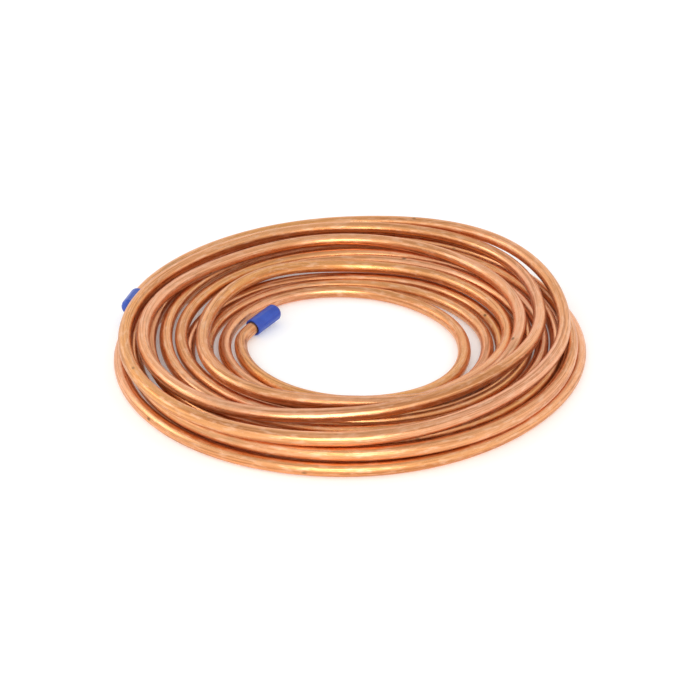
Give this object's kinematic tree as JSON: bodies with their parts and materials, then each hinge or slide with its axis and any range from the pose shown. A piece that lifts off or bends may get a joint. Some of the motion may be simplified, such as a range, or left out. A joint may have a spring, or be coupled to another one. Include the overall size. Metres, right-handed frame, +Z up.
{
  "type": "copper tube coil",
  "caption": "Loose coil of soft copper tube lying flat, wound in layers round an open eye, with a blue push-on plastic cap on each tube end.",
  "frame": {"origin": "middle of the footprint at floor level, in the eye of the coil", "axes": "+Z up along the coil's axis; -Y towards the side that hides the eye's near edge, +X to the right of it"},
  "size_m": [0.453, 0.4446, 0.0457],
  "materials": {
    "copper": "soft-drawn bright copper, no lacquer",
    "cap_plastic": "moulded blue polyethylene"
  },
  "bodies": {
    "root": {"copper_tube": "copper", "inner_end_cap": "cap_plastic", "outer_end_cap": "cap_plastic"}
  },
  "joints": []
}
